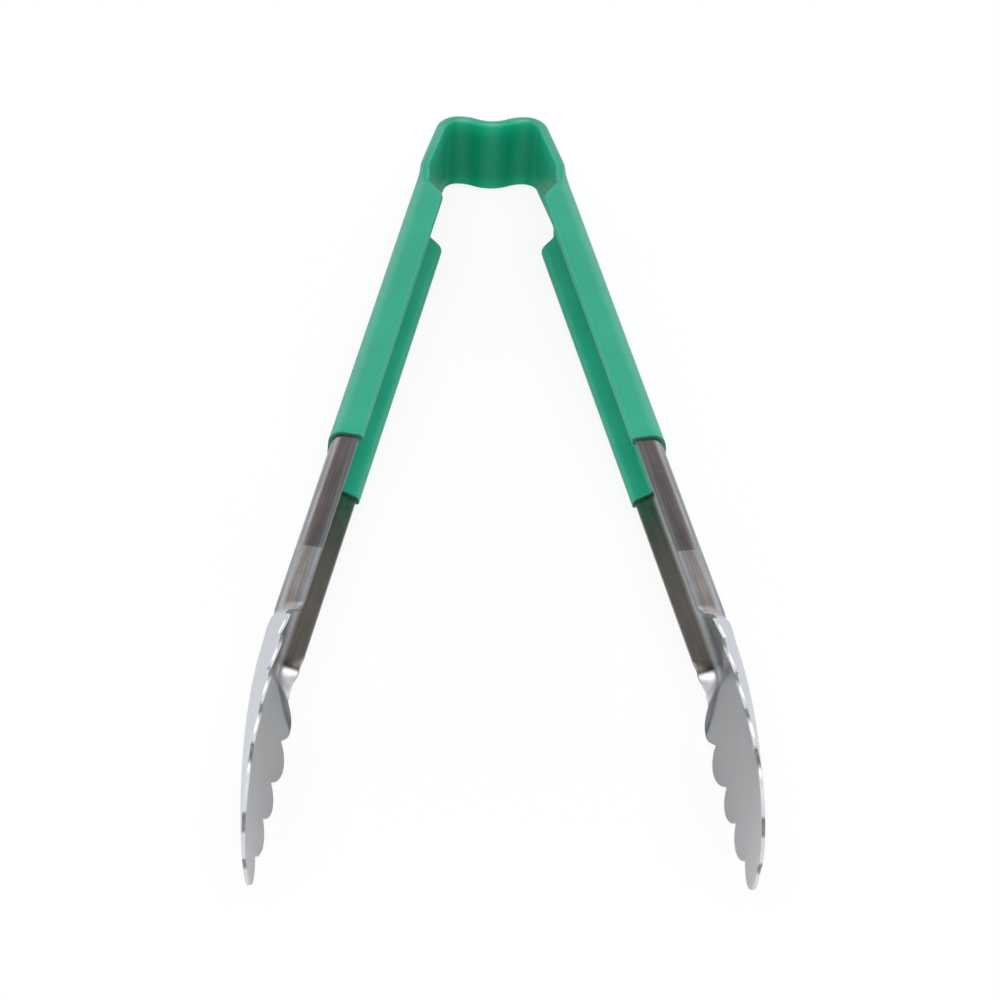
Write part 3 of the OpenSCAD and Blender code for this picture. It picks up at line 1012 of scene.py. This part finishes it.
for side, mirror in (("left", False), ("right", True)):
    body = side + "_arm"
    sheet = steel_arm("steel_" + side, mirror)
    sheet.data.materials.append(steel)
    sheet.data.materials.append(cut_edge)
    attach(sheet, body)
    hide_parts(side + "_arm_channel", side + "_blade")
    grip = coating_arm("coating_" + side, mirror)
    grip.data.materials.append(coating)
    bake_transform(grip)
    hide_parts(side + "_handle_coating")

# ---- camera: the photograph's viewing angle, in metres ----
ELEVATION = math.radians(41.659)
AZIMUTH = math.radians(2.0)
ROLL = math.radians(1.975)
DISTANCE = 1.4347
LENS_MM = 178.61
AIM_X = 0.00083
AIM_BELOW_CROWN = 0.166515


def photo_camera():
    """Long-lens camera that looks down on the tongs from the blades' end."""
    flat = math.cos(ELEVATION)
    forward = Vector((math.sin(AZIMUTH) * flat, math.cos(AZIMUTH) * flat, -math.sin(ELEVATION)))
    right = Vector((math.cos(AZIMUTH), -math.sin(AZIMUTH), 0))
    up = right.cross(forward)
    camera_x = right * math.cos(ROLL) + up * math.sin(ROLL)
    camera_y = up * math.cos(ROLL) - right * math.sin(ROLL)
    pose = Matrix((camera_x, camera_y, -forward)).transposed().to_4x4()
    pose.translation = Vector((AIM_X, CROWN_Y * MM - AIM_BELOW_CROWN, MID_Z * MM)) - forward * DISTANCE
    camera = bpy.data.objects.new("camera", bpy.data.cameras.new("camera"))
    camera.data.lens = LENS_MM
    camera.data.clip_start = 0.05
    camera.data.clip_end = 50
    camera.matrix_world = pose
    bpy.context.scene.collection.objects.link(camera)
    bpy.context.scene.camera = camera


# ---- floor, world and lamp: metres ----
FLOOR_TILT = math.radians(2.75)
FLOOR_TOUCH_Y = CROWN_Y * MM - 0.2647  # the floor is level with the frame's floor here
FLOOR_HALF = 6.0
FLOOR_GAP = 0.0002
FLOOR_GREY = 0.86
# The floor's own white as the camera sees it: its strength, and its share over the lit floor
FLOOR_WHITE = 1.06
WHITE_SHARE = 0.8
# Where the lamp points: the middle of the tongs
LAMP_AIM = Vector((0, 0, 0.02))
# Light of the studio by height, from the horizon at 0 to overhead at 1
SKY_STOPS = [(0.0, 0.95), (0.08, 1.15), (0.42, 1.2), (0.55, 0.4), (0.8, 0.25), (1.0, 0.6)]


def grey(level):
    """Colour value of an even grey."""
    return (level, level, level, 1)


def floor_material():
    """A diffuse floor that is mostly plain white to the camera and keeps the shadow."""
    material = bpy.data.materials.new("floor")
    material.use_nodes = True
    material.node_tree.nodes.clear()
    nodes = Nodes(material.node_tree)
    lit = nodes.node("ShaderNodeBsdfDiffuse", {"Color": grey(FLOOR_GREY)}).outputs[0]
    white = nodes.node("ShaderNodeEmission", {"Color": grey(1), "Strength": FLOOR_WHITE}).outputs[0]
    seen = nodes.node("ShaderNodeLightPath").outputs["Is Camera Ray"]
    share = nodes.node("ShaderNodeMath", {0: seen, 1: WHITE_SHARE}, operation="MULTIPLY").outputs[0]
    mix = nodes.node("ShaderNodeMixShader", {"Fac": share, 1: lit, 2: white}).outputs[0]
    nodes.node("ShaderNodeOutputMaterial", {"Surface": mix})
    return material


def floor():
    """Pale floor under the blades' lobes and the head's lower rim."""
    mesh = bpy.data.meshes.new("floor")
    along, rise = math.cos(FLOOR_TILT), math.sin(FLOOR_TILT)
    corners = []
    for x, y in ((-1, -1), (1, -1), (1, 1), (-1, 1)):
        y *= FLOOR_HALF
        corners.append((x * FLOOR_HALF, FLOOR_TOUCH_Y + y * along, y * rise - FLOOR_GAP))
    mesh.from_pydata(corners, [], [[0, 1, 2, 3]])
    plane = bpy.data.objects.new("floor", mesh)
    bpy.context.scene.collection.objects.link(plane)
    mesh.materials.append(floor_material())


def studio_world():
    """White to the camera; elsewhere bright round the horizon and dimmer overhead."""
    world = bpy.data.worlds.new("studio")
    bpy.context.scene.world = world
    world.use_nodes = True
    world.node_tree.nodes.clear()
    nodes = Nodes(world.node_tree)
    coord = nodes.node("ShaderNodeTexCoord").outputs["Generated"]
    height = nodes.node("ShaderNodeSeparateXYZ", {0: coord}).outputs["Z"]
    ramp = nodes.node("ShaderNodeValToRGB", {"Fac": height})
    stops = ramp.color_ramp.elements
    for stop, (position, level) in zip((stops[0], stops[1]), (SKY_STOPS[0], SKY_STOPS[-1])):
        stop.position = position
        stop.color = grey(level)
    for position, level in SKY_STOPS[1:-1]:
        stops.new(position).color = grey(level)
    around = nodes.node("ShaderNodeBackground", {"Color": ramp.outputs["Color"]}).outputs[0]
    white = nodes.node("ShaderNodeBackground", {"Color": grey(1)}).outputs[0]
    seen = nodes.node("ShaderNodeLightPath").outputs["Is Camera Ray"]
    mix = nodes.node("ShaderNodeMixShader", {"Fac": seen, 1: around, 2: white}).outputs[0]
    nodes.node("ShaderNodeOutputWorld", {"Surface": mix})


def softbox(name, place_at, size, power):
    """Area lamp aimed at the middle of the tongs."""
    lamp = bpy.data.lights.new(name, "AREA")
    lamp.shape = "RECTANGLE"
    lamp.size, lamp.size_y = size
    lamp.energy = power
    holder = bpy.data.objects.new(name, lamp)
    holder.location = place_at
    aim = LAMP_AIM - Vector(place_at)
    holder.rotation_euler = aim.to_track_quat("-Z", "Y").to_euler()
    bpy.context.scene.collection.objects.link(holder)


photo_camera()
floor()
studio_world()
softbox("overhead", (0, -0.35, 1.6), (1.6, 1.2), 14.0)

bpy.context.scene.view_settings.view_transform = "Standard"
